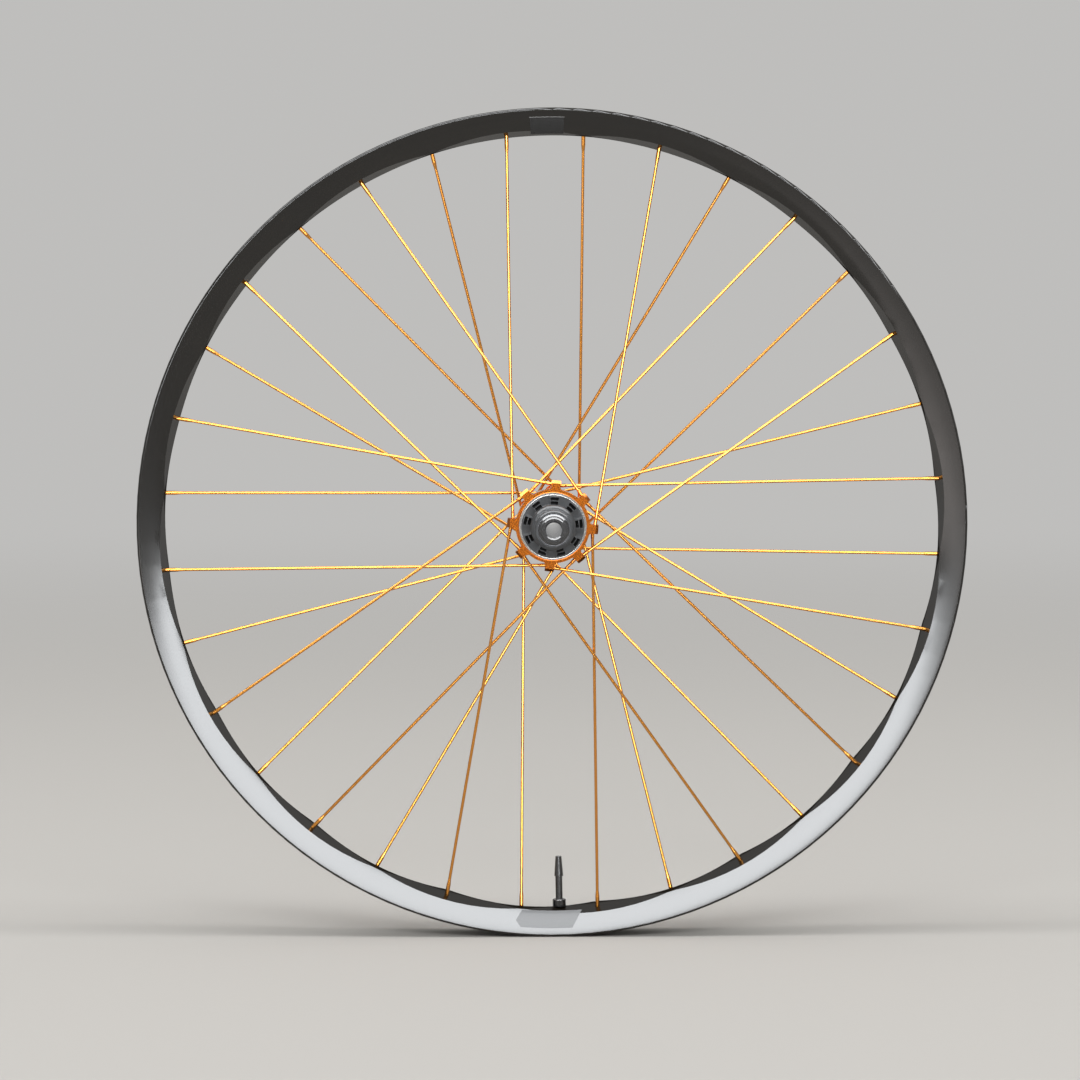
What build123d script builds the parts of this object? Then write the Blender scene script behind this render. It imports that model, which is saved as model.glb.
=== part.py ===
from build123d import *

import os
from math import acos, atan2, cos, degrees, radians, sin, sqrt, tan

# Rear mountain bike wheel, 622 mm bead seat, seen from the drive side.
# Frame: origin at the middle of the axle, Y along the axle from the drive side to the
# brake side, Z up, valve at the bottom. Millimetres.

# Rim section: depths are measured inward from the rim's outer radius
rim_radius = 317.0
rim_width = 36.0
rim_depth = 20.7
bead_depth = 6.0
bead_shelf = 4.5
well_depth = 2.8
well_slope = 3.0
bed_crown = 0.5
side_taper = 3.5
side_bulge = 0.3
lip_thickness = 3.0
lip_outer_round = 1.8
lip_inner_round = 0.8
tyre_bed_wall = 1.8
spoke_bed_wall = 2.8
facet_wall = 1.7
side_wall = 1.9
tape_thickness = 0.4
tape_edge_gap = 0.3

# Facets ground along the two edges of the spoke bed, one at every spoke hole
scallop_depth = 3.1
scallop_tilt = 11.5
scallop_radius = 190.0
scallop_half_angle = 17.5

# Spokes
spoke_count = 32
first_hole_angle = 6.7
hole_offset = 3.5
neck_radius = 1.6
neck_length = 9.6
neck_taper = 4.7
body_radius = 1.15
thread_radius = 1.35
thread_shown = 3.5
thread_taper = 1.5
head_flats = 5.4
head_height = 3.0
spoke_seat_wall = 3.2
spoke_hole_gap = 0.2
tool_hole_gap = 0.5
thread_gap = 0.03

# Axle for a 12 mm thru axle in a 148 mm frame, and the cartridge bearings on it
hub_width = 148.0
axle_bore_radius = 6.05
axle_wall = 1.45
axle_end_inset = 4.0
axle_shoulder_step = 1.1
spacer_wall = 1.5
spacer_gap = 1.0
hub_bearing_section = 6.5
hub_bearing_width = 7.0
hub_race_wall = 1.6
freehub_bearing_section = 4.5
freehub_bearing_width = 5.0
freehub_race_wall = 1.2
bearing_seal_thickness = 0.5
bearing_seal_recess = 0.15
bearing_seal_gap = 0.1

# End caps
cap_wall = 3.45
cap_chamfer = 0.6
cap_bore_chamfer = 0.9
cap_collar_inset = 0.1
drive_cap_shown = 7.6
drive_shield_gap = 0.4
drive_shield_thickness = 1.5
drive_shield_offset = 0.7
drive_shield_cone = 1.1
drive_cap_taper = 1.1
brake_shield_gap = 0.6
brake_shield_thickness = 1.6
brake_shield_offset = 1.0
brake_cap_taper = 4.0

# Freehub body: nose, threaded core, flange with nine drive splines, and boss
nose_wall = 2.2
nose_chamfer = 0.8
outboard_bearing_inset = 1.2
inboard_bearing_inset = 4.7
core_step = 2.6
core_length = 17.6
core_chamfer = 1.2
boss_step = 0.5
boss_end_gap = 0.6
disc_depth = 2.6
disc_gap = 0.5
disc_side_gap = 0.6
spline_count = 9
first_spline_angle = 86.7
spline_angle = 20.5
spline_height = 5.6
spline_edge = 0.7
spline_end_wall = 0.7
spline_side_wall = 0.6
spline_rib = 0.7
window_depth = 5.0
window_core_gap = 0.4

# Pawls and their wire ring
pawl_count = 3
first_pawl_angle = 90.0
pawl_width = 8.6
pawl_side_gap = 0.2
pawl_pivot_radius = 1.7
pawl_pivot_inset = 3.0
pawl_gap = 0.25
pawl_tip_across = 6.5
pawl_tip_rise = 3.6
pawl_nose_across = 5.9
pawl_nose_rise = 2.0
pawl_heel_across = 0.4
pawl_heel_rise = 1.65
pawl_fold = 14.0
socket_mouth = 1.0
tooth_lead = 0.7
spring_wire = 0.8
spring_width_gap = 0.3
spring_groove_depth = 1.9
spring_seat_gap = 0.05
spring_notch_depth = 0.6
spring_opening = 24.0
seal_width = 1.8
seal_foot = 1.0
seal_gap = 0.2

# Toothed drive ring pressed into the drive flange
tooth_count = 60
tooth_gap = 1.3
tooth_height = 1.1
tooth_overcut = 0.1
tooth_zone_depth = 11.0
ring_backing = 0.5
ring_wall = 2.0
ring_lip_width = 3.5
ring_lip_depth = 1.6
ring_rim_width = 1.1
ring_rim_height = 0.9
ring_seat_past_flange = 3.5
ring_end_gap = 0.6
ring_groove = 0.5

# Hub shell: one flange each side, eight lugs a flange, two spokes a lug
lug_count = 8
lug_width = 7.0
lug_depth = 11.4
lug_chamfer = 2.0
lug_fillet = 2.0
set_spacing = 5.0
holes_to_lug = 7

drive_flange_y = -21.6
drive_flange_rim = 2.1
drive_lug_height = 6.5
drive_outer_lift = 3.2
drive_inner_lift = 2.0

brake_flange_y = 33.6
brake_flange_wall = 3.2
brake_lug_height = 7.6
brake_outer_lift = 4.1
brake_inner_lift = 2.9

drive_bearing_ledge = 1.4
bearing_stop = 1.4
barrel_wall = 3.2
barrel_waist_shift = 4.0
neck_step = 2.6
neck_inset = 2.0
neck_length_y = 5.0
neck_rise = 3.0

rotor_inset = 18.8
rotor_flange_depth = 9.6
rotor_flange_step = 1.6
rotor_bolt_circle = 22.0
rotor_bolt_count = 6
rotor_hole_radius = 2.1
rotor_lobe_radius = 4.6
rotor_lobe_fillet = 2.5
rotor_spigot_wall = 3.0
rotor_spigot_height = 2.0
brake_bearing_recess = 2.7

# Tubeless valve between two spoke holes at the bottom
valve_length = 39.0
valve_hole_radius = 3.1
stem_radius = 2.7
stem_bore_radius = 1.3
stem_below_tip = 13.0
core_pin_radius = 0.7
core_pin_below_tip = 2.2
core_rod_radius = 1.2
core_nut_radius = 1.6
core_nut_height = 3.0
core_length_inside = 26.0
valve_cap_length = 15.2
valve_cap_base_radius = 3.5
valve_cap_top_radius = 2.35
valve_cap_gap = 0.15
valve_cap_nut_gap = 0.25
valve_cap_end_wall = 1.6
valve_nut_radius = 5.15
valve_nut_height = 5.6
valve_nut_chamfer = 0.5
valve_nut_flutes = 12
valve_nut_flute_radius = 0.6
valve_seat_gap = 0.1
valve_foot_length = 2.0
valve_base_radius = 5.6
valve_base_top_radius = 4.0
valve_base_height = 4.0

os.makedirs("parts", exist_ok=True)

# Rim section from its outer radius and width
half_rim = rim_width / 2
half_bed = half_rim - side_taper
half_channel = half_rim - lip_thickness
shelf_end = half_channel - bead_shelf
half_well = shelf_end - well_slope
bead_seat_radius = rim_radius - bead_depth
well_radius = bead_seat_radius - well_depth
bed_radius = rim_radius - rim_depth
bed_edge_radius = bed_radius + bed_crown
hole_pitch = 360 / spoke_count
lug_lead = holes_to_lug * hole_pitch
wheel_axis = Axis.Y

# Radii of the hub, each from the piece inside it
bearing_bore_radius = axle_bore_radius + axle_wall
axle_shoulder_radius = bearing_bore_radius + axle_shoulder_step
spacer_radius = bearing_bore_radius + spacer_wall
cap_radius = axle_bore_radius + cap_wall
hub_bearing_radius = bearing_bore_radius + hub_bearing_section
freehub_bearing_radius = bearing_bore_radius + freehub_bearing_section
boss_bore_radius = spacer_radius + spacer_gap
nose_radius = freehub_bearing_radius + nose_wall
core_radius = nose_radius + core_step
boss_radius = core_radius + boss_step
tooth_tip_radius = boss_radius + tooth_gap
tooth_root_radius = tooth_tip_radius + tooth_height
ring_bore_radius = tooth_root_radius + ring_backing
ring_radius = ring_bore_radius + ring_wall
ring_lip_radius = ring_radius + ring_lip_width
counterbore_radius = ring_lip_radius + ring_groove
disc_radius = ring_lip_radius - ring_rim_width - disc_side_gap
drive_flange_radius = counterbore_radius + drive_flange_rim
drive_lug_radius = drive_flange_radius + drive_lug_height
shell_bore_radius = hub_bearing_radius - bearing_stop
barrel_radius = shell_bore_radius + barrel_wall
brake_flange_radius = hub_bearing_radius + brake_flange_wall
brake_lug_radius = brake_flange_radius + brake_lug_height
rotor_spigot_radius = hub_bearing_radius + rotor_spigot_wall
rotor_flange_radius = rotor_spigot_radius + rotor_flange_step

# Places along the axle, from the frame width and from the two flanges
half_hub = hub_width / 2
half_depth = lug_depth / 2
drive_front_y = drive_flange_y - half_depth
drive_back_y = drive_flange_y + half_depth
brake_front_y = brake_flange_y - half_depth
brake_back_y = brake_flange_y + half_depth
ring_seat_y = drive_back_y + ring_seat_past_flange
drive_hub_bearing_y = ring_seat_y + drive_bearing_ledge
rotor_face_y = half_hub - rotor_inset
rotor_back_y = rotor_face_y - rotor_flange_depth
spigot_end_y = rotor_face_y + rotor_spigot_height
brake_hub_bearing_y = spigot_end_y - brake_bearing_recess - hub_bearing_width
nose_end_y = drive_cap_shown - half_hub
outboard_bearing_y = nose_end_y + outboard_bearing_inset
inboard_bearing_y = drive_front_y - inboard_bearing_inset


def polar(radius, angle, y=0.0):
    """A point at a distance and an angle from the wheel axis, seen from the drive side."""
    return Vector(radius * cos(radians(angle)), y, radius * sin(radians(angle)))


def face_plane(y):
    """A plane across the axle at y that looks towards the drive side, with Z up."""
    return Plane(origin=(0, y, 0), x_dir=(1, 0, 0), z_dir=(0, -1, 0))


# Every spoke runs from its seat in the rim to the foot of its tangent at the hub.
seat_radius = bed_radius + spoke_seat_wall
spokes = []
for number in range(spoke_count):
    angle = first_hole_angle + hole_pitch * number
    on_drive_side = number % 2 == 0
    turns_left = (number // 2) % 2 == 0
    if on_drive_side:
        flange_y = drive_flange_y
        outward = -1
        tangent = drive_flange_radius + (drive_inner_lift if turns_left else drive_outer_lift)
    else:
        flange_y = brake_flange_y
        outward = 1
        tangent = brake_flange_radius + (brake_inner_lift if turns_left else brake_outer_lift)
    set_shift = -outward if turns_left else outward
    foot_angle = degrees(acos(tangent / seat_radius))
    if not turns_left:
        foot_angle = -foot_angle
    seat = polar(seat_radius, angle, outward * hole_offset)
    foot = polar(tangent, angle + foot_angle, flange_y + set_shift * set_spacing / 2)
    run = (foot - seat).normalized()
    side = Vector(0, 1, 0).cross(run).normalized()
    lug_angle = angle + (lug_lead if turns_left else -lug_lead)
    lug_reach = tangent * tan(radians(abs(foot_angle) - lug_lead))
    spokes.append((angle, on_drive_side, seat, foot, run, side, lug_angle, lug_reach))


def side_at(radius):
    """Half width of the rim's outside at a radius, on its taper from the lip to the bed."""
    return half_bed + side_taper * (radius - bed_edge_radius) / (rim_radius - bed_edge_radius)


def facet_at(half_width):
    """Radius of the deepest facet line at a distance from the middle of the rim."""
    return bed_edge_radius + scallop_depth - (half_bed - half_width) * tan(radians(scallop_tilt))


def lip_profile(side):
    """Outline of one lip from the tyre channel over the top to the side wall."""
    outer = lip_outer_round
    inner = lip_inner_round
    outer_turn = outer * (1 - sqrt(0.5))
    inner_turn = inner * (1 - sqrt(0.5))
    Line((bead_seat_radius, side * half_channel), (rim_radius - inner, side * half_channel))
    ThreePointArc(
        (rim_radius - inner, side * half_channel),
        (rim_radius - inner_turn, side * (half_channel + inner_turn)),
        (rim_radius, side * (half_channel + inner)),
    )
    Line((rim_radius, side * (half_channel + inner)), (rim_radius, side * (half_rim - outer)))
    ThreePointArc(
        (rim_radius, side * (half_rim - outer)),
        (rim_radius - outer_turn, side * (half_rim - outer_turn)),
        (rim_radius - outer, side * half_rim),
    )
    middle = (bed_edge_radius + rim_radius - outer) / 2
    ThreePointArc(
        (rim_radius - outer, side * half_rim),
        (middle, side * ((half_bed + half_rim) / 2 + side_bulge)),
        (bed_edge_radius, side * half_bed),
    )


# Rim: a hollow box section with open tyre channel, turned about the axle
with BuildPart() as rim:
    with BuildSketch(Plane.XY):
        with BuildLine():
            Polyline(
                (bead_seat_radius, -half_channel),
                (bead_seat_radius, -shelf_end),
                (well_radius, -half_well),
                (well_radius, half_well),
                (bead_seat_radius, shelf_end),
                (bead_seat_radius, half_channel),
            )
            lip_profile(1)
            ThreePointArc((bed_edge_radius, half_bed), (bed_radius, 0), (bed_edge_radius, -half_bed))
            lip_profile(-1)
        make_face()
    revolve(axis=wheel_axis)

    # A facet at each hole, on the edge of the bed that faces the spoke's own flange
    cutter_low = (
        scallop_radius * cos(radians(scallop_half_angle)),
        -scallop_radius * sin(radians(scallop_half_angle)),
    )
    cutter_high = (cutter_low[0], -cutter_low[1])
    for angle, on_drive_side, *_ in spokes:
        outward = -1 if on_drive_side else 1
        radial = polar(1, angle)
        inward_run = Vector(0, -outward, 0) * cos(radians(scallop_tilt)) - radial * sin(radians(scallop_tilt))
        normal = radial * cos(radians(scallop_tilt)) + Vector(0, -outward, 0) * sin(radians(scallop_tilt))
        edge_point = radial * (bed_edge_radius + scallop_depth) + Vector(0, outward * half_bed, 0)
        cutter_plane = Plane(
            origin=edge_point - normal * scallop_radius - inward_run * half_bed / 2,
            x_dir=normal,
            z_dir=inward_run,
        )
        with BuildSketch(cutter_plane):
            with BuildLine():
                ThreePointArc(cutter_low, (scallop_radius, 0), cutter_high)
                Line(cutter_high, cutter_low)
            make_face()
        extrude(amount=half_bed * 2.2, mode=Mode.SUBTRACT)

    # Closed hollow between the spoke bed and the tyre bed
    hollow_floor = bed_radius + spoke_bed_wall
    hollow_side = half_bed - side_wall
    hollow_middle = hollow_side / 2
    hollow_roof = bead_seat_radius - tyre_bed_wall
    with BuildSketch(Plane.XY) as hollow:
        with BuildLine():
            Polyline(
                (hollow_floor, 0),
                (facet_at(hollow_middle) + facet_wall, hollow_middle),
                (facet_at(hollow_side) + facet_wall, hollow_side),
                (hollow_roof, side_at(hollow_roof) - side_wall),
                (hollow_roof, shelf_end - tyre_bed_wall / 3),
                (well_radius - tyre_bed_wall, half_well - tyre_bed_wall / 2),
                (well_radius - tyre_bed_wall, 0),
                close=True,
            )
        make_face()
        mirror(about=Plane.XZ)
    revolve(axis=wheel_axis, mode=Mode.SUBTRACT)

    # Spoke holes with a flat seat, and the larger holes for the tool in the tyre bed
    outward_seats = [Plane(origin=s[2], x_dir=s[5], z_dir=-s[4]) for s in spokes]
    inward_seats = [Plane(origin=s[2], x_dir=s[5], z_dir=s[4]) for s in spokes]
    tool_hole_radius = head_flats / 2 / cos(radians(30)) + tool_hole_gap
    with Locations(*outward_seats):
        Cylinder(
            tool_hole_radius,
            rim_radius - seat_radius,
            align=(Align.CENTER, Align.CENTER, Align.MIN),
            mode=Mode.SUBTRACT,
        )
    with Locations(*inward_seats):
        Cylinder(
            neck_radius + spoke_hole_gap,
            neck_length,
            align=(Align.CENTER, Align.CENTER, Align.MIN),
            mode=Mode.SUBTRACT,
        )

    # Valve hole midway between two spoke holes
    valve_angle = first_hole_angle + hole_pitch * 23.5
    valve_out = polar(1, valve_angle)
    valve_side = valve_out.cross(Vector(0, 1, 0))
    with Locations(Plane(origin=valve_out * (bed_radius - bed_crown), x_dir=valve_side, z_dir=valve_out)):
        Cylinder(
            valve_hole_radius,
            rim_depth,
            align=(Align.CENTER, Align.CENTER, Align.MIN),
            mode=Mode.SUBTRACT,
        )
rim.part.label = "rim"
export_step(rim.part, "parts/rim.step")

# Airtight tape along the floor of the tyre channel
tape_edge = half_channel - tape_edge_gap
with BuildPart() as rim_tape:
    with BuildSketch(Plane.XY):
        with BuildLine():
            Polyline(
                (bead_seat_radius, -tape_edge),
                (bead_seat_radius, -shelf_end),
                (well_radius, -half_well),
                (well_radius, half_well),
                (bead_seat_radius, shelf_end),
                (bead_seat_radius, tape_edge),
                (bead_seat_radius + tape_thickness, tape_edge),
                (bead_seat_radius + tape_thickness, shelf_end - tape_thickness / 2),
                (well_radius + tape_thickness, half_well - tape_thickness / 2),
                (well_radius + tape_thickness, -half_well + tape_thickness / 2),
                (bead_seat_radius + tape_thickness, -shelf_end + tape_thickness / 2),
                (bead_seat_radius + tape_thickness, -tape_edge),
                close=True,
            )
        make_face()
    revolve(axis=wheel_axis)
    with Locations(Plane(origin=valve_out * (well_radius - tape_thickness), x_dir=valve_side, z_dir=valve_out)):
        Cylinder(
            stem_radius + valve_seat_gap,
            tape_thickness * 3,
            align=(Align.CENTER, Align.CENTER, Align.MIN),
            mode=Mode.SUBTRACT,
        )
rim_tape.part.label = "rim_tape"
export_step(rim_tape.part, "parts/rim_tape.step")

# Spokes: hexagonal head in the rim, stout neck, slim body and a threaded end in the hub
side_counts = {"drive": 0, "brake": 0}
for angle, on_drive_side, seat, foot, run, side, lug_angle, lug_reach in spokes:
    side_name = "drive" if on_drive_side else "brake"
    side_counts[side_name] += 1
    name = "spoke_%s_%02d" % (side_name, side_counts[side_name])
    foot_distance = (foot - seat).length
    spoke_length = foot_distance - lug_reach + lug_width / 2
    thread_start = foot_distance - lug_reach - lug_width / 2 - thread_shown
    with BuildPart() as spoke:
        with BuildSketch(Plane(origin=seat, x_dir=side, z_dir=side.cross(run))):
            with BuildLine():
                Polyline(
                    (0, 0),
                    (neck_radius, 0),
                    (neck_radius, neck_length),
                    (body_radius, neck_length + neck_taper),
                    (body_radius, thread_start - thread_taper),
                    (thread_radius, thread_start),
                    (thread_radius, spoke_length),
                    (0, spoke_length),
                    close=True,
                )
            make_face()
        revolve(axis=Axis(seat, run))
        with BuildSketch(Plane(origin=seat, x_dir=side, z_dir=-run)):
            RegularPolygon(head_flats / 2, 6, major_radius=False)
        extrude(amount=head_height)
    spoke.part.label = name
    export_step(spoke.part, "parts/%s.step" % name)


def first_lug_angle(wanted_side):
    """Where the first lug of one flange stands, midway along its spokes' threads."""
    return next(s[6] for s in spokes if s[1] == wanted_side)


# Lug star of each flange, rounded into its ring and trimmed by a chamfered envelope
def near_radius(radius):
    """A test for edges that stand at one distance from the wheel axis."""
    return lambda e: abs(sqrt(e.center().X ** 2 + e.center().Z ** 2) - radius) < 0.5


def flange_envelope(radius, front_y, back_y):
    """Half section of a flange's lugs with both outer corners cut off."""
    Polyline(
        (0, front_y),
        (radius - lug_chamfer, front_y),
        (radius, front_y + lug_chamfer),
        (radius, back_y - lug_chamfer),
        (radius - lug_chamfer, back_y),
        (0, back_y),
        close=True,
    )


with BuildPart() as drive_lugs:
    with BuildSketch(face_plane(drive_back_y)):
        Circle(drive_flange_radius)
        with PolarLocations(0, lug_count, start_angle=first_lug_angle(True)):
            with Locations((drive_lug_radius / 2, 0)):
                Rectangle(drive_lug_radius, lug_width)
        Circle((drive_flange_radius + counterbore_radius) / 2, mode=Mode.SUBTRACT)
    extrude(amount=lug_depth)
    root_edges = drive_lugs.edges().filter_by(Axis.Y).filter_by(near_radius(drive_flange_radius))
    fillet(root_edges, radius=lug_fillet)
    with BuildSketch(Plane.XY):
        with BuildLine():
            flange_envelope(drive_lug_radius, drive_front_y, drive_back_y)
        make_face()
    revolve(axis=wheel_axis, mode=Mode.INTERSECT)

with BuildPart() as brake_lugs:
    with BuildSketch(face_plane(brake_back_y)):
        Circle(brake_flange_radius)
        with PolarLocations(0, lug_count, start_angle=first_lug_angle(False)):
            with Locations((brake_lug_radius / 2, 0)):
                Rectangle(brake_lug_radius, lug_width)
        Circle((brake_flange_radius + shell_bore_radius) / 2, mode=Mode.SUBTRACT)
    extrude(amount=lug_depth)
    root_edges = brake_lugs.edges().filter_by(Axis.Y).filter_by(near_radius(brake_flange_radius))
    fillet(root_edges, radius=lug_fillet)
    with BuildSketch(Plane.XY):
        with BuildLine():
            flange_envelope(brake_lug_radius, brake_front_y, brake_back_y)
        make_face()
    revolve(axis=wheel_axis, mode=Mode.INTERSECT)

# Six lobes for the brake rotor's bolts
with BuildPart() as rotor_flange:
    with BuildSketch(face_plane(rotor_face_y)):
        Circle(rotor_flange_radius)
        with PolarLocations(rotor_bolt_circle, rotor_bolt_count, start_angle=90):
            Circle(rotor_lobe_radius)
        Circle((hub_bearing_radius + rotor_spigot_radius) / 2, mode=Mode.SUBTRACT)
    extrude(amount=rotor_flange_depth)
    lobe_roots = rotor_flange.edges().filter_by(Axis.Y).filter_by(near_radius(rotor_flange_radius))
    fillet(lobe_roots, radius=rotor_lobe_fillet)
    with Locations(face_plane(rotor_face_y)):
        with PolarLocations(rotor_bolt_circle, rotor_bolt_count, start_angle=90):
            Hole(rotor_hole_radius, depth=rotor_flange_depth)

# Hub shell: waisted barrel with stepped bores, both lug stars and the rotor flange in one
with BuildPart() as hub_shell:
    with BuildSketch(Plane.XY):
        with BuildLine():
            neck_start = (drive_flange_radius - neck_inset, drive_back_y + neck_step)
            neck_end = (barrel_radius + neck_rise, drive_back_y + neck_step + neck_length_y)
            Polyline(
                (counterbore_radius, drive_front_y),
                (drive_flange_radius, drive_front_y),
                (drive_flange_radius, drive_back_y),
                neck_start,
                neck_end,
            )
            Spline(
                neck_end,
                (barrel_radius, (drive_back_y + brake_front_y) / 2 + barrel_waist_shift),
                (brake_flange_radius, brake_front_y),
            )
            Polyline(
                (brake_flange_radius, brake_front_y),
                (brake_flange_radius, rotor_back_y),
                (rotor_spigot_radius, rotor_back_y),
                (rotor_spigot_radius, spigot_end_y),
                (hub_bearing_radius, spigot_end_y),
                (hub_bearing_radius, brake_hub_bearing_y),
                (shell_bore_radius, brake_hub_bearing_y),
                (shell_bore_radius, drive_hub_bearing_y + hub_bearing_width),
                (hub_bearing_radius, drive_hub_bearing_y + hub_bearing_width),
                (hub_bearing_radius, ring_seat_y),
                (ring_radius, ring_seat_y),
                (ring_radius, drive_front_y + ring_lip_depth),
                (counterbore_radius, drive_front_y + ring_lip_depth),
                (counterbore_radius, drive_front_y),
            )
        make_face()
    revolve(axis=wheel_axis)
    add(drive_lugs.part)
    add(brake_lugs.part)
    add(rotor_flange.part)
    drill_reach = lug_width / 2 + thread_shown
    threads = [Plane(origin=s[3] + s[4] * (drill_reach - s[7]), x_dir=s[5], z_dir=-s[4]) for s in spokes]
    with Locations(*threads):
        Cylinder(
            thread_radius + thread_gap,
            drill_reach * 2,
            align=(Align.CENTER, Align.CENTER, Align.MIN),
            mode=Mode.SUBTRACT,
        )
hub_shell.part.label = "hub_shell"
export_step(hub_shell.part, "parts/hub_shell.step")

# Drive ring: saw teeth inside, and a thin bright rim that shows round the freehub body
tooth_pitch = 360 / tooth_count
ring_teeth_y = ring_seat_y - ring_end_gap
pawl_pivot_distance = boss_radius - pawl_pivot_inset
pawl_tip_angle = degrees(atan2(pawl_tip_across, pawl_pivot_distance + pawl_tip_rise))
tooth_face_angle = first_pawl_angle - pawl_tip_angle - tooth_lead
tooth_start = tooth_tip_radius - tooth_overcut
with BuildPart() as drive_ring:
    with BuildSketch(Plane.XY):
        with BuildLine():
            Polyline(
                (ring_bore_radius, ring_seat_y),
                (ring_radius, ring_seat_y),
                (ring_radius, drive_front_y + ring_lip_depth),
                (ring_lip_radius, drive_front_y + ring_lip_depth),
                (ring_lip_radius, drive_front_y - ring_rim_height),
                (ring_lip_radius - ring_rim_width, drive_front_y - ring_rim_height),
                (ring_lip_radius - ring_rim_width, drive_front_y),
                (ring_bore_radius, drive_front_y),
                close=True,
            )
        make_face()
    revolve(axis=wheel_axis)
    with BuildSketch(face_plane(ring_teeth_y)):
        Circle(ring_bore_radius)
        Circle(tooth_tip_radius, mode=Mode.SUBTRACT)
        with PolarLocations(0, tooth_count, start_angle=tooth_face_angle):
            Polygon(
                (tooth_start, 0),
                (tooth_root_radius, 0),
                (tooth_start * cos(radians(tooth_pitch)), tooth_start * sin(radians(tooth_pitch))),
                align=None,
                mode=Mode.SUBTRACT,
            )
    extrude(amount=tooth_zone_depth)
drive_ring.part.label = "drive_ring"
export_step(drive_ring.part, "parts/drive_ring.step")

# Freehub body: boss with three pawl sockets, flange with nine splines, threaded core and nose
boss_end_y = ring_seat_y - boss_end_gap
disc_back_y = drive_front_y - disc_gap
disc_front_y = disc_back_y - disc_depth
core_end_y = disc_front_y - core_length
pawl_zone_y = ring_teeth_y - tooth_zone_depth / 2
inboard_seat_y = inboard_bearing_y + freehub_bearing_width
spline_front_y = disc_front_y - spline_height
spline_radius = disc_radius - spline_edge
window_outer_radius = spline_radius - spline_end_wall
window_inner_radius = core_radius + window_core_gap
window_rib_radius = (window_inner_radius + window_outer_radius) / 2
window_angle = spline_angle - 2 * degrees(spline_side_wall / window_rib_radius)
spring_groove_radius = boss_radius - spring_groove_depth
spring_notch_radius = spring_groove_radius - spring_notch_depth
socket_depth = pawl_width + 2 * pawl_side_gap
pivot = (0, pawl_pivot_distance)
fold = radians(pawl_fold)


def folded(across, rise):
    """Where a point of the pawl goes when the pawl is pressed into its socket."""
    return (across * cos(fold) + rise * sin(fold), rise * cos(fold) - across * sin(fold))


nose_folded = folded(pawl_nose_across, pawl_nose_rise)
tip_folded = folded(pawl_tip_across, pawl_tip_rise)


def wedges(width_angle):
    """One triangle for each spline, from the axle outwards past the flange."""
    reach = 2 * disc_radius
    across = reach * tan(radians(width_angle / 2))
    with BuildSketch() as fan:
        with PolarLocations(0, spline_count, start_angle=first_spline_angle):
            Polygon((0, 0), (reach, -across), (reach, across), align=None)
    return fan.sketch


spline_wedges = wedges(spline_angle)
window_wedges = wedges(window_angle)
with BuildPart() as freehub_body:
    with BuildSketch(Plane.XY):
        with BuildLine():
            Polyline(
                (boss_bore_radius, boss_end_y),
                (boss_radius, boss_end_y),
                (boss_radius, disc_back_y),
                (disc_radius, disc_back_y),
                (disc_radius, disc_front_y),
                (core_radius, disc_front_y),
                (core_radius, core_end_y + core_chamfer),
                (core_radius - core_chamfer, core_end_y),
                (nose_radius, core_end_y),
                (nose_radius, nose_end_y + nose_chamfer),
                (nose_radius - nose_chamfer, nose_end_y),
                (freehub_bearing_radius, nose_end_y),
                (freehub_bearing_radius, inboard_seat_y),
                (boss_bore_radius, inboard_seat_y),
                close=True,
            )
        make_face()
    revolve(axis=wheel_axis)
    with BuildSketch(face_plane(disc_front_y)):
        Circle(spline_radius)
        Circle((core_radius + nose_radius) / 2, mode=Mode.SUBTRACT)
        add(spline_wedges, mode=Mode.INTERSECT)
    extrude(amount=spline_height)
    with BuildSketch(face_plane(spline_front_y)):
        Circle(window_outer_radius)
        Circle(window_rib_radius + spline_rib / 2, mode=Mode.SUBTRACT)
        add(window_wedges, mode=Mode.INTERSECT)
    extrude(amount=-window_depth, mode=Mode.SUBTRACT)
    with BuildSketch(face_plane(spline_front_y)):
        Circle(window_rib_radius - spline_rib / 2)
        Circle(window_inner_radius, mode=Mode.SUBTRACT)
        add(window_wedges, mode=Mode.INTERSECT)
    extrude(amount=-window_depth, mode=Mode.SUBTRACT)
    with BuildSketch(face_plane(pawl_zone_y + socket_depth / 2)):
        with PolarLocations(0, pawl_count, start_angle=first_pawl_angle - 90):
            with Locations(pivot):
                Circle(pawl_pivot_radius + pawl_gap)
                Polygon(
                    (0, -pawl_pivot_radius - pawl_gap),
                    (nose_folded[0] + pawl_gap, nose_folded[1] - 1.5 * pawl_gap),
                    (tip_folded[0] + 1.5 * pawl_gap, tip_folded[1] - pawl_gap),
                    (tip_folded[0] + 3 * pawl_gap, pawl_pivot_inset + socket_mouth),
                    (0, pawl_pivot_inset + socket_mouth),
                    align=None,
                )
    extrude(amount=socket_depth, mode=Mode.SUBTRACT)
    with BuildSketch(face_plane(pawl_zone_y + (spring_wire + spring_width_gap) / 2)):
        Circle(boss_radius + socket_mouth)
        Circle(spring_groove_radius, mode=Mode.SUBTRACT)
    extrude(amount=spring_wire + spring_width_gap, mode=Mode.SUBTRACT)
freehub_body.part.label = "freehub_body"
export_step(freehub_body.part, "parts/freehub_body.step")

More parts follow.
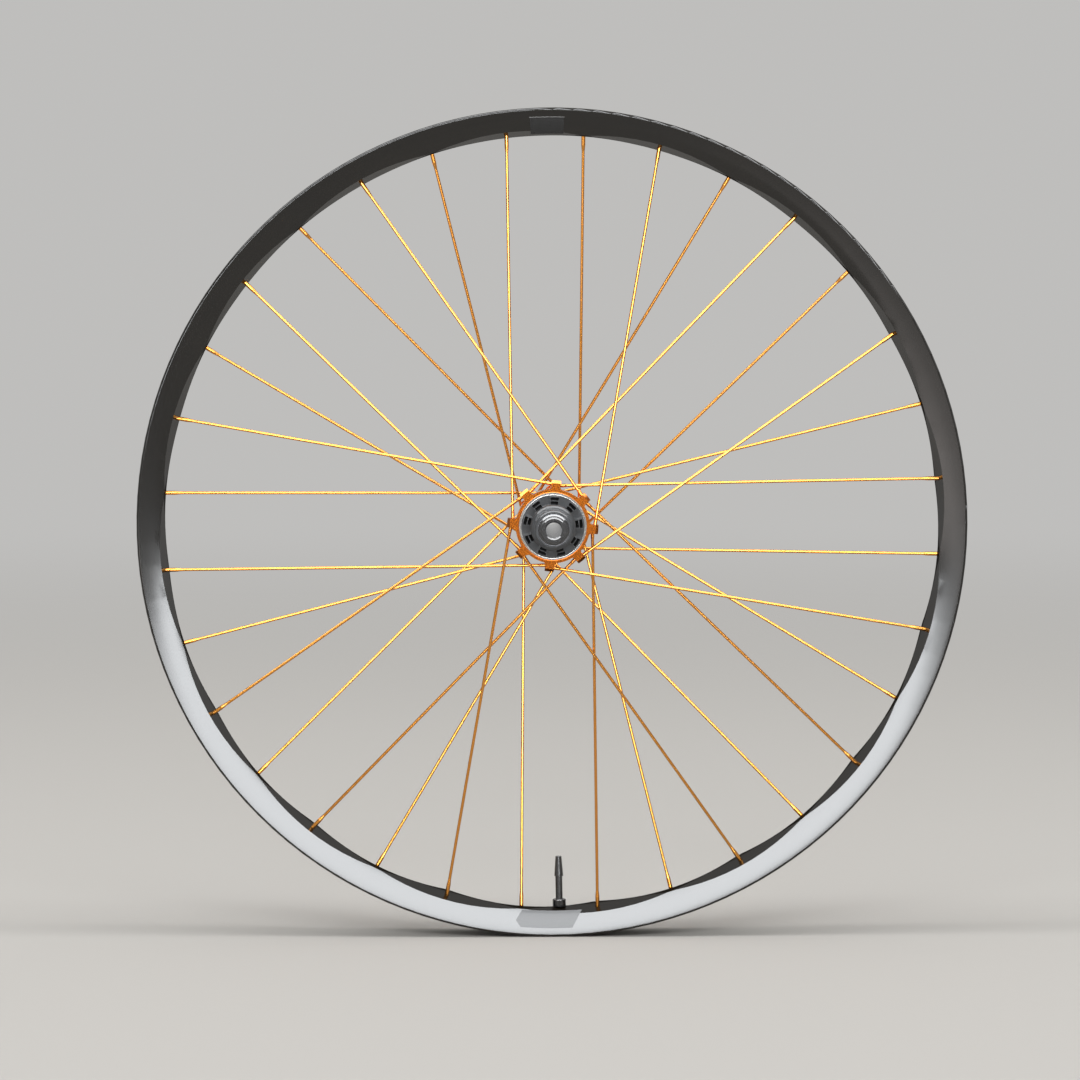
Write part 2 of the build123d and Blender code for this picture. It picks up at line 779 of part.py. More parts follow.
# Pawls: each turns in its socket, and its tip stands in a tooth space
for count in range(pawl_count):
    turn = first_pawl_angle - 90 + count * 360 / pawl_count
    with BuildPart() as pawl:
        with BuildSketch(face_plane(pawl_zone_y + pawl_width / 2)):
            with PolarLocations(0, 1, start_angle=turn):
                with Locations(pivot):
                    Circle(pawl_pivot_radius)
                    Polygon(
                        (0, pawl_pivot_radius),
                        (pawl_tip_across, pawl_tip_rise),
                        (pawl_nose_across, pawl_nose_rise),
                        (pawl_heel_across, -pawl_heel_rise),
                        align=None,
                    )
        extrude(amount=pawl_width)
        with BuildSketch(face_plane(pawl_zone_y + (spring_wire + spring_width_gap) / 2)):
            Circle(tooth_root_radius)
            Circle(spring_notch_radius, mode=Mode.SUBTRACT)
        extrude(amount=spring_wire + spring_width_gap, mode=Mode.SUBTRACT)
    name = "pawl_%d" % (count + 1)
    pawl.part.label = name
    export_step(pawl.part, "parts/%s.step" % name)

# Open wire ring that lies in the groove over the pawls
with BuildPart() as pawl_spring:
    with BuildSketch(Plane.XY):
        with Locations((spring_groove_radius + spring_seat_gap + spring_wire / 2, pawl_zone_y)):
            Rectangle(spring_wire, spring_wire)
    revolve(axis=wheel_axis, revolution_arc=360 - spring_opening)
pawl_spring.part.label = "pawl_spring"
export_step(pawl_spring.part, "parts/pawl_spring.step")

# Rubber lip seal on the boss, beside the teeth
seal_back_y = pawl_zone_y - tooth_zone_depth / 2 - seal_width / 2
with BuildPart() as freehub_seal:
    with BuildSketch(Plane.XY):
        with BuildLine():
            Polyline(
                (boss_radius, seal_back_y),
                (boss_radius + seal_foot, seal_back_y),
                (ring_bore_radius - seal_gap, seal_back_y - seal_width / 2),
                (ring_bore_radius - seal_gap, seal_back_y - seal_width),
                (boss_radius, seal_back_y - seal_width),
                close=True,
            )
        make_face()
    revolve(axis=wheel_axis)
freehub_seal.part.label = "freehub_seal"
export_step(freehub_seal.part, "parts/freehub_seal.step")

# Cartridge bearings: two in the hub shell and two in the freehub body
bearing_sets = (
    ("hub", hub_bearing_radius, hub_bearing_width, hub_race_wall, (drive_hub_bearing_y, brake_hub_bearing_y)),
    (
        "freehub",
        freehub_bearing_radius,
        freehub_bearing_width,
        freehub_race_wall,
        (outboard_bearing_y, inboard_bearing_y),
    ),
)
for place, outside, width, wall, starts in bearing_sets:
    race_inside = bearing_bore_radius + wall
    race_outside = outside - wall
    with BuildPart() as outer_rings:
        for start in starts:
            with BuildSketch(face_plane(start + width)):
                Circle(outside)
                Circle(race_outside, mode=Mode.SUBTRACT)
            extrude(amount=width)
    name = "%s_bearing_outer_rings" % place
    outer_rings.part.label = name
    export_step(outer_rings.part, "parts/%s.step" % name)
    with BuildPart() as inner_rings:
        for start in starts:
            with BuildSketch(face_plane(start + width)):
                Circle(race_inside)
                Circle(bearing_bore_radius, mode=Mode.SUBTRACT)
            extrude(amount=width)
    name = "%s_bearing_inner_rings" % place
    inner_rings.part.label = name
    export_step(inner_rings.part, "parts/%s.step" % name)
    with BuildPart() as seals:
        for start in starts:
            for seal_y in (
                start + bearing_seal_recess + bearing_seal_thickness,
                start + width - bearing_seal_recess,
            ):
                with BuildSketch(face_plane(seal_y)):
                    Circle(race_outside)
                    Circle(race_inside + bearing_seal_gap, mode=Mode.SUBTRACT)
                extrude(amount=bearing_seal_thickness)
    name = "%s_bearing_seals" % place
    seals.part.label = name
    export_step(seals.part, "parts/%s.step" % name)

# Axle tube with a shoulder between the hub bearings
axle_end = half_hub - axle_end_inset
shoulder_start_y = drive_hub_bearing_y + hub_bearing_width
with BuildPart() as axle:
    with BuildSketch(Plane.XY):
        with BuildLine():
            Polyline(
                (axle_bore_radius, -axle_end),
                (bearing_bore_radius, -axle_end),
                (bearing_bore_radius, shoulder_start_y),
                (axle_shoulder_radius, shoulder_start_y),
                (axle_shoulder_radius, brake_hub_bearing_y),
                (bearing_bore_radius, brake_hub_bearing_y),
                (bearing_bore_radius, axle_end),
                (axle_bore_radius, axle_end),
                close=True,
            )
        make_face()
    revolve(axis=wheel_axis)
axle.part.label = "axle"
export_step(axle.part, "parts/axle.step")

# Spacer tubes between the inner rings
with BuildPart() as axle_spacers:
    for start, end in (
        (inboard_seat_y, drive_hub_bearing_y),
        (outboard_bearing_y + freehub_bearing_width, inboard_bearing_y),
    ):
        with BuildSketch(face_plane(end)):
            Circle(spacer_radius)
            Circle(bearing_bore_radius, mode=Mode.SUBTRACT)
        extrude(amount=end - start)
axle_spacers.part.label = "axle_spacers"
export_step(axle_spacers.part, "parts/axle_spacers.step")

# End caps: pushed over the axle ends, each with a dust shield in its bore
shield_front_y = nose_end_y - drive_shield_offset
shield_back_y = shield_front_y + drive_shield_thickness
drive_shield_radius = freehub_bearing_radius - drive_shield_gap
drive_collar_radius = bearing_bore_radius + freehub_race_wall - cap_collar_inset
with BuildPart() as end_cap_drive:
    with BuildSketch(Plane.XY):
        with BuildLine():
            Polyline(
                (axle_bore_radius, -half_hub + cap_bore_chamfer),
                (axle_bore_radius + cap_bore_chamfer, -half_hub),
                (cap_radius - cap_chamfer, -half_hub),
                (cap_radius, -half_hub + cap_chamfer),
                (cap_radius, shield_front_y - drive_cap_taper),
                (drive_shield_radius - drive_shield_cone, shield_front_y - drive_cap_taper),
                (drive_shield_radius, shield_front_y),
                (drive_shield_radius, shield_back_y),
                (drive_collar_radius, shield_back_y),
                (drive_collar_radius, outboard_bearing_y),
                (bearing_bore_radius, outboard_bearing_y),
                (bearing_bore_radius, -axle_end),
                (axle_bore_radius, -axle_end),
                close=True,
            )
        make_face()
    revolve(axis=wheel_axis)
end_cap_drive.part.label = "end_cap_drive"
export_step(end_cap_drive.part, "parts/end_cap_drive.step")

brake_bearing_end_y = brake_hub_bearing_y + hub_bearing_width
brake_shield_radius = hub_bearing_radius - brake_shield_gap
brake_collar_radius = bearing_bore_radius + hub_race_wall - cap_collar_inset
brake_shield_back_y = brake_bearing_end_y + brake_shield_offset
brake_shield_front_y = brake_shield_back_y + brake_shield_thickness
with BuildPart() as end_cap_brake:
    with BuildSketch(Plane.XY):
        with BuildLine():
            Polyline(
                (bearing_bore_radius, brake_bearing_end_y),
                (brake_collar_radius, brake_bearing_end_y),
                (brake_collar_radius, brake_shield_back_y),
                (brake_shield_radius, brake_shield_back_y),
                (brake_shield_radius, brake_shield_front_y),
                (cap_radius, brake_shield_front_y + brake_cap_taper),
                (cap_radius, half_hub - cap_chamfer),
                (cap_radius - cap_chamfer, half_hub),
                (axle_bore_radius + cap_bore_chamfer, half_hub),
                (axle_bore_radius, half_hub - cap_bore_chamfer),
                (axle_bore_radius, axle_end),
                (bearing_bore_radius, axle_end),
                close=True,
            )
        make_face()
    revolve(axis=wheel_axis)
end_cap_brake.part.label = "end_cap_brake"
export_step(end_cap_brake.part, "parts/end_cap_brake.step")

# Valve: every piece is turned about one radial axis
valve_plane = Plane(origin=(0, 0, 0), x_dir=valve_side, z_dir=valve_side.cross(valve_out))
valve_axis = Axis((0, 0, 0), valve_out)
tip_radius = bed_radius - valve_length
stem_top = tip_radius + stem_below_tip
base_seat = well_radius + tape_thickness + valve_seat_gap / 2
stem_foot = base_seat + valve_foot_length
with BuildPart() as valve_stem:
    with BuildSketch(valve_plane):
        with BuildLine():
            Polyline(
                (stem_bore_radius, stem_top),
                (stem_radius, stem_top),
                (stem_radius, stem_foot),
                (stem_bore_radius, stem_foot),
                close=True,
            )
        make_face()
    revolve(axis=valve_axis)
valve_stem.part.label = "valve_stem"
export_step(valve_stem.part, "parts/valve_stem.step")

with BuildPart() as valve_base:
    with BuildSketch(valve_plane):
        with BuildLine():
            Polyline(
                (stem_radius, base_seat),
                (valve_base_radius, base_seat),
                (valve_base_radius, base_seat + valve_base_height / 3),
                (valve_base_top_radius, base_seat + valve_base_height),
                (stem_bore_radius, base_seat + valve_base_height),
                (stem_bore_radius, stem_foot),
                (stem_radius, stem_foot),
                close=True,
            )
        make_face()
    revolve(axis=valve_axis)
valve_base.part.label = "valve_base"
export_step(valve_base.part, "parts/valve_base.step")

nut_top = bed_radius - valve_seat_gap
nut_bottom = nut_top - valve_nut_height
with BuildPart() as valve_nut:
    with BuildSketch(valve_plane):
        with BuildLine():
            Polyline(
                (stem_radius + thread_gap, nut_bottom),
                (valve_nut_radius - valve_nut_chamfer, nut_bottom),
                (valve_nut_radius, nut_bottom + valve_nut_chamfer),
                (valve_nut_radius, nut_top),
                (stem_radius + thread_gap, nut_top),
                close=True,
            )
        make_face()
    revolve(axis=valve_axis)
    with BuildSketch(Plane(origin=valve_out * nut_bottom, x_dir=valve_side, z_dir=valve_out)):
        with PolarLocations(valve_nut_radius + valve_nut_flute_radius / 3, valve_nut_flutes):
            Circle(valve_nut_flute_radius)
    extrude(amount=valve_nut_height, mode=Mode.SUBTRACT)
valve_nut.part.label = "valve_nut"
export_step(valve_nut.part, "parts/valve_nut.step")

core_nut_top = stem_top - valve_seat_gap
core_nut_bottom = core_nut_top - core_nut_height
with BuildPart() as valve_core:
    with BuildSketch(valve_plane):
        with BuildLine():
            Polyline(
                (0, tip_radius + core_pin_below_tip),
                (core_pin_radius, tip_radius + core_pin_below_tip),
                (core_pin_radius, core_nut_bottom),
                (core_nut_radius, core_nut_bottom),
                (core_nut_radius, core_nut_top),
                (core_rod_radius, core_nut_top),
                (core_rod_radius, core_nut_top + core_length_inside),
                (0, core_nut_top + core_length_inside),
                close=True,
            )
        make_face()
    revolve(axis=valve_axis)
valve_core.part.label = "valve_core"
export_step(valve_core.part, "parts/valve_core.step")

cap_base = tip_radius + valve_cap_length
with BuildPart() as valve_cap:
    with BuildSketch(valve_plane):
        with BuildLine():
            Polyline(
                (0, tip_radius),
                (valve_cap_top_radius, tip_radius),
                (valve_cap_base_radius, cap_base),
                (stem_radius + valve_cap_gap, cap_base),
                (stem_radius + valve_cap_gap, stem_top - valve_cap_gap),
                (core_nut_radius + valve_cap_nut_gap, stem_top - valve_cap_gap),
                (core_nut_radius + valve_cap_nut_gap, core_nut_bottom - valve_cap_gap),
                (core_pin_radius + valve_cap_nut_gap, core_nut_bottom - valve_cap_gap),
                (core_pin_radius + valve_cap_nut_gap, tip_radius + valve_cap_end_wall),
                (0, tip_radius + valve_cap_end_wall),
                close=True,
            )
        make_face()
    revolve(axis=valve_axis)
valve_cap.part.label = "valve_cap"
export_step(valve_cap.part, "parts/valve_cap.step")
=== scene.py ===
from math import acos, cos, degrees, pi, radians, sin, tan

import bmesh
import bpy
from mathutils import Matrix, Vector


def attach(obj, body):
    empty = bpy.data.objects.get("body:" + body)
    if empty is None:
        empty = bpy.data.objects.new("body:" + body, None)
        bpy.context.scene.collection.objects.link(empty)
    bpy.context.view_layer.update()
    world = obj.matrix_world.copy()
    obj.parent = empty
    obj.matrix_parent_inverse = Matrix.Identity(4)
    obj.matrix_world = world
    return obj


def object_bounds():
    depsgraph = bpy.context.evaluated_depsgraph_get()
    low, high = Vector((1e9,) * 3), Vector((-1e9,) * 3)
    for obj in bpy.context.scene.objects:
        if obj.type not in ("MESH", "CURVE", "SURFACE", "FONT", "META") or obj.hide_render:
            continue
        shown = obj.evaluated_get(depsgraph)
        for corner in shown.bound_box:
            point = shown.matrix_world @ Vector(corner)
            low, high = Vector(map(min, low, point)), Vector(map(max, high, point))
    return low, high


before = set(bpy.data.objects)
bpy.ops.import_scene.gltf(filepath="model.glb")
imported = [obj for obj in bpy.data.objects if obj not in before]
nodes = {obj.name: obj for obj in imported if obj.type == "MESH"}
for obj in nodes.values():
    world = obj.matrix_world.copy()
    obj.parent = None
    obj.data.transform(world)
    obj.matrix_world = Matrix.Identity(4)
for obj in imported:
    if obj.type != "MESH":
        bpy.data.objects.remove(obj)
cad_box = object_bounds()

# Lengths are in metres, or in mm where it says so, and angles in degrees
mm = 0.001


# Camera

camera_place = (-0.0522, -2.9920, 0.2135)
camera_dip = 4.32
camera_swing = -0.82
camera_lens = 130.4
camera_sensor = 36

scene = bpy.context.scene
scene.view_settings.view_transform = "Standard"

camera_data = bpy.data.cameras.new("camera")
camera_data.lens = camera_lens
camera_data.sensor_width = camera_sensor
camera = bpy.data.objects.new("camera", camera_data)
camera.location = camera_place
camera.rotation_euler = (radians(90 - camera_dip), 0, radians(camera_swing))
scene.collection.objects.link(camera)
scene.camera = camera


# Lamps

daylight = (0.95, 0.975, 1.0)


def softbox(name, place, width, height, radiance, colour=(1, 1, 1)):
    """A rectangular lamp that faces the middle of the wheel, as bright as radiance all over."""
    lamp = bpy.data.lights.new(name, "AREA")
    lamp.shape = "RECTANGLE"
    lamp.size = width
    lamp.size_y = height
    lamp.energy = radiance * pi * width * height
    lamp.color = colour
    lamp_object = bpy.data.objects.new(name, lamp)
    lamp_object.location = place
    towards = Vector((0, 0, 0)) - Vector(place)
    lamp_object.rotation_euler = towards.to_track_quat("-Z", "Y").to_euler()
    lamp_object.visible_camera = False
    scene.collection.objects.link(lamp_object)
    return lamp_object


softbox("front_panel", (0.0, -4.6, 3.4), width=4.6, height=1.6, radiance=3.6)
softbox("overhead_panel", (0.0, -0.4, 3.2), width=8.0, height=0.7, radiance=4.4)
sky_card = softbox(
    "sky_card", (0.0, -0.9, 3.3), width=8.0, height=2.4, radiance=6.0, colour=daylight
)
sky_card.visible_diffuse = False


# Node helpers

def add(tree, kind, inputs=None, **settings):
    """A shader node with its settings, and its inputs joined to sockets or set to values."""
    made = tree.nodes.new(kind)
    for name, value in settings.items():
        setattr(made, name, value)
    for name, value in (inputs or {}).items():
        if isinstance(value, bpy.types.NodeSocket):
            tree.links.new(value, made.inputs[name])
        else:
            made.inputs[name].default_value = value
    return made


def maths(tree, operation, first, second=None):
    """One Math node's value."""
    inputs = {0: first}
    if second is not None:
        inputs[1] = second
    return add(tree, "ShaderNodeMath", inputs, operation=operation).outputs[0]


def carried(tree, value, start, end, low=0.0, high=1.0, **settings):
    """A value carried from the range from start to end to the one from low to high."""
    ends = {"Value": value, "From Min": start, "From Max": end, "To Min": low, "To Max": high}
    return add(tree, "ShaderNodeMapRange", ends, **settings).outputs[0]


def spread(tree, noise, low, high):
    """A noise value, mostly between 0.3 and 0.7, carried to the range from low to high."""
    usual_least, usual_most = 0.3, 0.7
    return carried(tree, noise, usual_least, usual_most, low, high)


def blended(tree, factor, first, second):
    """Two colours, each a socket or three values, mixed by a mask."""
    first, second = (
        colour if isinstance(colour, bpy.types.NodeSocket) else (*colour, 1)
        for colour in (first, second)
    )
    return add(
        tree, "ShaderNodeMix", {0: factor, 6: first, 7: second}, data_type="RGBA"
    ).outputs[2]


def surface_place(tree):
    """The place of a surface point in its object's own frame."""
    return add(tree, "ShaderNodeTexCoord").outputs["Object"]


def parts_of(tree, vector):
    """The X, Y and Z values of a vector."""
    return add(tree, "ShaderNodeSeparateXYZ", {0: vector}).outputs


def vector_maths(tree, operation, first, second=(0, 0, 0)):
    """One Vector Math node's outputs, a vector and a value."""
    inputs = {0: first, 1: second}
    return add(tree, "ShaderNodeVectorMath", inputs, operation=operation).outputs


def flattened(tree, place, factors=(1, 0, 1)):
    """A place's way out from the wheel axis, or its way in where the factors are -1."""
    return vector_maths(tree, "MULTIPLY", place, factors)["Vector"]


def length_of(tree, vector):
    """A vector's length."""
    return vector_maths(tree, "LENGTH", vector)["Value"]


def direction_of(tree, vector):
    """A vector brought to a length of one."""
    return vector_maths(tree, "NORMALIZE", vector)["Vector"]


def new_material(name):
    """A material with an empty node tree, and that tree."""
    material = bpy.data.materials.new(name)
    material.use_nodes = True
    material.node_tree.nodes.clear()
    return material, material.node_tree


def finish_tree(tree, shader):
    """The tree's output, joined to a shader socket."""
    add(tree, "ShaderNodeOutputMaterial", {"Surface": shader})


# World

backdrop_colour = (0.52, 0.515, 0.505, 1)

world = bpy.data.worlds.new("studio")
scene.world = world
world.use_nodes = True
studio = world.node_tree
studio.nodes.clear()
backdrop = add(studio, "ShaderNodeBackground", {"Color": backdrop_colour, "Strength": 1})
add(studio, "ShaderNodeOutputWorld", {"Surface": backdrop.outputs[0]})


# Stage pieces

def loose_object(name, mesh, material):
    """An object made of a mesh, in one material."""
    data = bpy.data.meshes.new(name)
    mesh.to_mesh(data)
    mesh.free()
    data.materials.append(material)
    made = bpy.data.objects.new(name, data)
    scene.collection.objects.link(made)
    return made


def arch_glow():
    """Light that rises with height, a little sooner on the right."""
    dark_height, full_height = -0.52, 0.15
    lean = 0.09
    full_strength = 15.8
    material, tree = new_material("arch glow")
    x, _, z = parts_of(tree, surface_place(tree))
    height = maths(tree, "ADD", z, maths(tree, "MULTIPLY", x, lean))
    strength = carried(
        tree, height, dark_height, full_height, high=full_strength, interpolation_type="SMOOTHSTEP"
    )
    lit = add(tree, "ShaderNodeEmission", {"Color": (*daylight, 1), "Strength": strength})
    finish_tree(tree, lit.outputs[0])
    return material


def card_sheen():
    """Warm light that rises towards the left, on a card that hides nothing behind it."""
    dark_at, full_at = 0.0, -0.55
    full_strength = 2.2
    warm = (1.0, 0.93, 0.90, 1)
    material, tree = new_material("card sheen")
    x, _, _ = parts_of(tree, surface_place(tree))
    strength = carried(tree, x, dark_at, full_at, high=full_strength)
    lit = add(tree, "ShaderNodeEmission", {"Color": warm, "Strength": strength})
    clear = add(tree, "ShaderNodeBsdfTransparent")
    both = add(tree, "ShaderNodeAddShader", {0: lit.outputs[0], 1: clear.outputs[0]})
    finish_tree(tree, both.outputs[0])
    return material


def pale_paper():
    """A dull pale sheet that is clear from below and fades out with distance."""
    paper_colour = (0.61, 0.595, 0.57, 1)
    paper_roughness = 0.9
    fade_start, fade_end = 0.7, 4.5
    material, tree = new_material("pale paper")
    sheet = add(
        tree,
        "ShaderNodeBsdfPrincipled",
        {"Base Color": paper_colour, "Roughness": paper_roughness, "Specular IOR Level": 0.0},
    )
    clear = add(tree, "ShaderNodeBsdfTransparent")
    below = add(tree, "ShaderNodeNewGeometry").outputs["Backfacing"]
    reach = length_of(tree, surface_place(tree))
    faded = carried(tree, reach, fade_start, fade_end, interpolation_type="SMOOTHSTEP")
    gone = maths(tree, "MAXIMUM", below, faded)
    both = add(tree, "ShaderNodeMixShader", {0: gone, 1: sheet.outputs[0], 2: clear.outputs[0]})
    finish_tree(tree, both.outputs[0])
    return material


# Arch of light behind the camera, which the lower half of the rim mirrors
arch_middle = (0.05, -6.5, -0.45)
arch_reach = (0.90, 2.35)
arch_foot_height = -0.25
arch_sweep = 166
arch_steps = 48

arch_mesh = bmesh.new()
arch_foot = [
    arch_mesh.verts.new((reach, arch_middle[1], arch_foot_height)) for reach in arch_reach
]
arch_edge = arch_mesh.edges.new(arch_foot)
bmesh.ops.spin(
    arch_mesh,
    geom=[*arch_foot, arch_edge],
    cent=arch_middle,
    axis=(0, -1, 0),
    dvec=(0, 0, 0),
    angle=radians(arch_sweep),
    steps=arch_steps,
    use_duplicate=False,
)
arch = loose_object("front_arch", arch_mesh, arch_glow())
arch.visible_camera = False
arch.visible_diffuse = False

# Low card at the left, which the upper right of the rim mirrors
card_half_size = (0.8, 1.75, 1.0)
card_middle = (-0.8, -3.55, -0.29)

card_mesh = bmesh.new()
bmesh.ops.create_grid(card_mesh, x_segments=1, y_segments=1, size=1.0)
bmesh.ops.scale(card_mesh, vec=card_half_size, verts=card_mesh.verts)
bmesh.ops.translate(card_mesh, vec=card_middle, verts=card_mesh.verts)
card = loose_object("left_card", card_mesh, card_sheen())
card.visible_camera = False
card.visible_diffuse = False
card.visible_shadow = False

# Floor: a round sheet just under the wheel
floor_radius = 30.0
floor_segments = 96
floor_drop = 0.0002
floor_height = cad_box[0].z - floor_drop

floor_mesh = bmesh.new()
bmesh.ops.create_circle(floor_mesh, cap_ends=True, segments=floor_segments, radius=floor_radius)
bmesh.ops.translate(floor_mesh, vec=(0, 0, floor_height), verts=floor_mesh.verts)
floor = loose_object("floor", floor_mesh, pale_paper())


# Shared finish effects

def group_tree(name, inputs, outputs):
    """An empty node group with float inputs, as name to default, and float outputs."""
    tree = bpy.data.node_groups.new(name, "ShaderNodeTree")
    for socket_name, value in inputs.items():
        made = tree.interface.new_socket(
            socket_name, in_out="INPUT", socket_type="NodeSocketFloat"
        )
        made.default_value = value
    for socket_name in outputs:
        tree.interface.new_socket(socket_name, in_out="OUTPUT", socket_type="NodeSocketFloat")
    return tree, add(tree, "NodeGroupInput").outputs, add(tree, "NodeGroupOutput").inputs


def noise_value(tree, vector, scale, detail, roughness):
    """One Noise node's value."""
    return add(
        tree,
        "ShaderNodeTexNoise",
        {"Vector": vector, "Scale": scale, "Detail": detail, "Roughness": roughness},
    ).outputs[0]


def turned_grain():
    """Fine streaks that run round the wheel axis, as turning, buffing and lay-up leave them."""
    depth_share = 0.8
    tree, given, out = group_tree(
        "turned grain", {"Round": 14.0, "Across": 900.0, "Detail": 4.0}, ["Streak"]
    )
    place = surface_place(tree)
    flat = flattened(tree, place)
    facing = parts_of(tree, direction_of(tree, flat))
    along_axis = maths(tree, "MULTIPLY", parts_of(tree, place)[1], depth_share)
    depth = maths(tree, "ADD", length_of(tree, flat), along_axis)
    point = add(
        tree,
        "ShaderNodeCombineXYZ",
        {
            0: maths(tree, "MULTIPLY", facing[0], given["Round"]),
            1: maths(tree, "MULTIPLY", depth, given["Across"]),
            2: maths(tree, "MULTIPLY", facing[2], given["Round"]),
        },
    )
    streak = noise_value(tree, point.outputs[0], scale=1.0, detail=given["Detail"], roughness=0.6)
    tree.links.new(streak, out["Streak"])
    return tree


def cloudy_cast():
    """Slow and fine mottling, for colour and gloss that are never quite even."""
    tree, given, out = group_tree(
        "cloudy cast", {"Slow": 18.0, "Fine": 900.0}, ["Cloud", "Speckle"]
    )
    place = surface_place(tree)
    for socket_name, size in (("Cloud", "Slow"), ("Speckle", "Fine")):
        mottle = noise_value(tree, place, scale=given[size], detail=3.0, roughness=0.55)
        tree.links.new(mottle, out[socket_name])
    return tree


def bed_mask():
    """How far a surface looks at the axle, as the spoke bed and its tilted facets do."""
    looks_start, looks_full = 0.45, 0.8
    tilt_none, tilt_full = 0.16, 0.09
    tree, given, out = group_tree("bed mask", {"Facet Share": 0.5, "Bed Share": 0.45}, ["Bare"])
    place = add(tree, "ShaderNodeTexCoord").outputs
    inward = direction_of(tree, flattened(tree, place["Object"], factors=(-1, 0, -1)))
    looks = vector_maths(tree, "DOT_PRODUCT", inward, place["Normal"])["Value"]
    inside = carried(tree, looks, looks_start, looks_full)
    tilt = maths(tree, "ABSOLUTE", parts_of(tree, place["Normal"])[1])
    level = carried(tree, tilt, tilt_none, tilt_full)
    facet = maths(tree, "MULTIPLY", inside, given["Facet Share"])
    bed = maths(tree, "MULTIPLY", maths(tree, "MULTIPLY", inside, level), given["Bed Share"])
    tree.links.new(maths(tree, "ADD", facet, bed), out["Bare"])
    return tree


def window_shade_mask():
    """Where the freehub's splines are hollowed out, behind their front faces, which get painted
    shade.
    """
    spline_middle, spline_spacing = 86.7, 40
    half_width = 9.0
    front, floor_face = -35.93 * mm, -30.6 * mm
    inner, outer = 17.0 * mm, 22.75 * mm
    tree, _, out = group_tree("painted window shade", {}, ["Hollow"])
    place = surface_place(tree)
    x, y, z = parts_of(tree, place)
    reach = length_of(tree, flattened(tree, place))
    angle = maths(tree, "ARCTAN2", z, x)
    turned = maths(tree, "SUBTRACT", angle, radians(spline_middle - spline_spacing / 2))
    wrapped = maths(tree, "FLOORED_MODULO", turned, radians(spline_spacing))
    aside = maths(tree, "SUBTRACT", wrapped, radians(spline_spacing / 2))
    shade_paint = maths(tree, "LESS_THAN", maths(tree, "ABSOLUTE", aside), radians(half_width))
    for value, operation, bound in (
        (y, "GREATER_THAN", front),
        (y, "LESS_THAN", floor_face),
        (reach, "GREATER_THAN", inner),
        (reach, "LESS_THAN", outer),
    ):
        shade_paint = maths(tree, "MULTIPLY", shade_paint, maths(tree, operation, value, bound))
    tree.links.new(shade_paint, out["Hollow"])
    return tree


turned_grain_group = turned_grain()
cloudy_cast_group = cloudy_cast()
bed_mask_group = bed_mask()
window_shade_mask_group = window_shade_mask()


# Finishes

# Near black painted into the freehub's spline windows as painted shade
painted_shade_black = (0.004, 0.004, 0.004)


def finish_material(
    name,
    first,
    second,
    gloss,
    metal=0.0,
    grain=(14.0, 900.0),
    cast=(18.0, 900.0),
    streak_height=0.0,
    speckle_height=0.0,
    bare_bed=False,
    paint_window_shade=False,
    **shader_values,
):
    """A finish that drifts between two shades, with grain round the axle and fine speckle."""
    material, tree = new_material(name)
    streaks = add(tree, "ShaderNodeGroup", node_tree=turned_grain_group)
    streaks.inputs["Round"].default_value = grain[0]
    streaks.inputs["Across"].default_value = grain[1]
    clouds = add(tree, "ShaderNodeGroup", node_tree=cloudy_cast_group)
    clouds.inputs["Slow"].default_value = cast[0]
    clouds.inputs["Fine"].default_value = cast[1]
    streak, cloud, speckle = streaks.outputs[0], clouds.outputs["Cloud"], clouds.outputs["Speckle"]
    drift = maths(tree, "MULTIPLY", maths(tree, "ADD", streak, cloud), 0.5)
    colour = blended(tree, spread(tree, drift, 0.0, 1.0), first, second)
    # Painted shade: the spline windows are painted near black and fully metallic, standing for the
    # shade on their floors
    if paint_window_shade:
        shade_paint = add(tree, "ShaderNodeGroup", node_tree=window_shade_mask_group).outputs["Hollow"]
        colour = blended(tree, shade_paint, colour, painted_shade_black)
        metal = shade_paint
    worn = maths(tree, "MULTIPLY", maths(tree, "ADD", streak, speckle), 0.5)
    shader = add(
        tree,
        "ShaderNodeBsdfPrincipled",
        {"Base Color": colour, "Roughness": spread(tree, worn, *gloss), "Metallic": metal},
    )
    for socket_name, value in shader_values.items():
        shader.inputs[socket_name.replace("_", " ")].default_value = value
    if bare_bed:
        bare = add(tree, "ShaderNodeGroup", node_tree=bed_mask_group).outputs["Bare"]
        tree.links.new(maths(tree, "SUBTRACT", 1.0, bare), shader.inputs["Coat Weight"])
    if streak_height or speckle_height:
        streak_rise = maths(tree, "MULTIPLY", streak, streak_height)
        speckle_rise = maths(tree, "MULTIPLY", speckle, speckle_height)
        height = maths(tree, "ADD", streak_rise, speckle_rise)
        bump = add(tree, "ShaderNodeBump", {"Height": height, "Distance": mm, "Strength": 1.0})
        tree.links.new(bump.outputs[0], shader.inputs["Normal"])
    finish_tree(tree, shader.outputs[0])
    return material


carbon_rim = finish_material(
    "clear coated carbon",
    first=(0.006, 0.0046, 0.003),
    second=(0.011, 0.0088, 0.006),
    gloss=(0.30, 0.44),
    grain=(9.0, 420.0),
    cast=(26.0, 1500.0),
    streak_height=0.003,
    bare_bed=True,
    Specular_IOR_Level=0.0,
    Coat_Roughness=0.09,
    Coat_IOR=1.54,
)
channel_tape = finish_material(
    "channel tape",
    first=(0.055, 0.050, 0.042),
    second=(0.085, 0.078, 0.066),
    gloss=(0.30, 0.45),
    grain=(5.0, 1800.0),
    streak_height=0.06,
)
gold_shell = finish_material(
    "gold anodised shell",
    first=(0.40, 0.098, 0.0015),
    second=(0.48, 0.128, 0.003),
    gloss=(0.12, 0.17),
    metal=1.0,
    grain=(26.0, 3200.0),
    cast=(40.0, 2600.0),
    streak_height=0.006,
    speckle_height=0.006,
    Coat_Weight=0.35,
    Coat_Roughness=0.08,
    Coat_IOR=1.7,
)
